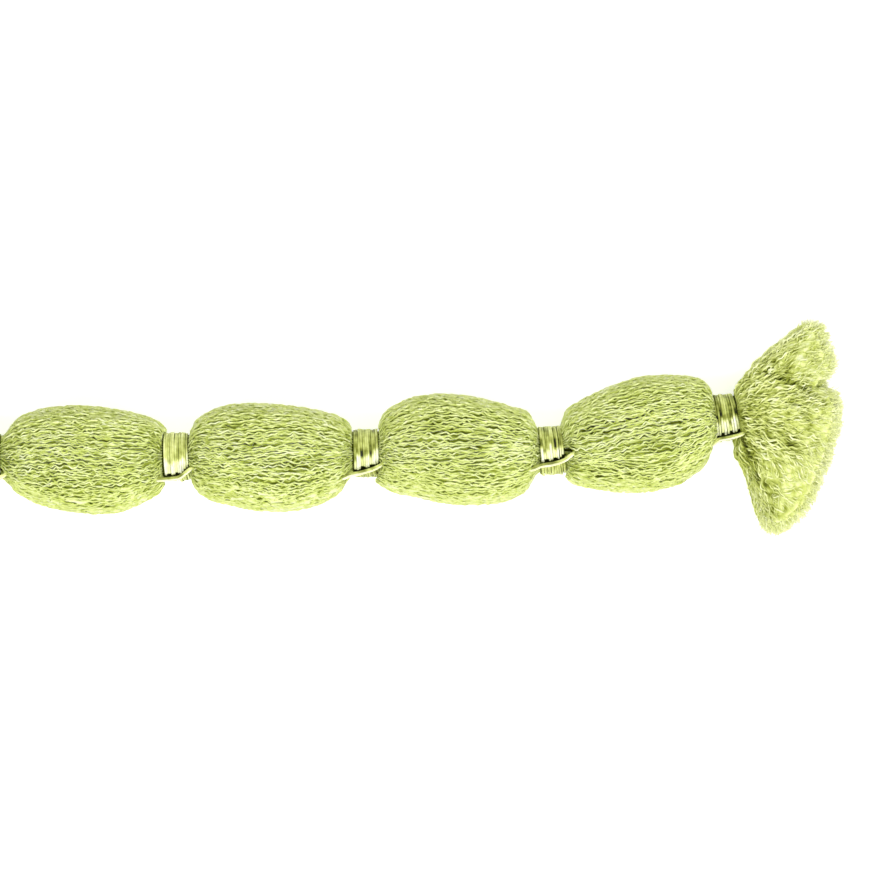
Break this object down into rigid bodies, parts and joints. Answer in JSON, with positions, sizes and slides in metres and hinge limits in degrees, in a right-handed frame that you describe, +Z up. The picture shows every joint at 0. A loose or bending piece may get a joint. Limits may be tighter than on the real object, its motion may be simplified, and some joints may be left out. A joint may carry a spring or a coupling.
{
  "type": "bead-tied yarn trim",
  "caption": "Length of thick crinkled yarn bundle, whipped with satin thread at even steps into soft barrel-shaped beads, with a fluffed cut tuft at each end.",
  "frame": {"origin": "bottom centre of the whole trim's box, on the surface that it lies on", "axes": "+X along the trim towards the wide fan tuft, +Y across it, +Z up from the surface"},
  "size_m": [0.1298, 0.0286, 0.0142],
  "materials": {
    "yarn": "crinkled two-ply yarn, matt with a soft sheen",
    "satin_thread": "smooth satin thread, glossy along its turns"
  },
  "bodies": {
    "root": {"yarn_bundle": "yarn", "binding_1": "satin_thread", "binding_2": "satin_thread", "binding_3": "satin_thread", "binding_4": "satin_thread", "binding_5": "satin_thread", "float_thread_1": "satin_thread", "float_thread_2": "satin_thread", "float_thread_3": "satin_thread", "float_thread_4": "satin_thread", "float_thread_5": "satin_thread"}
  },
  "joints": []
}
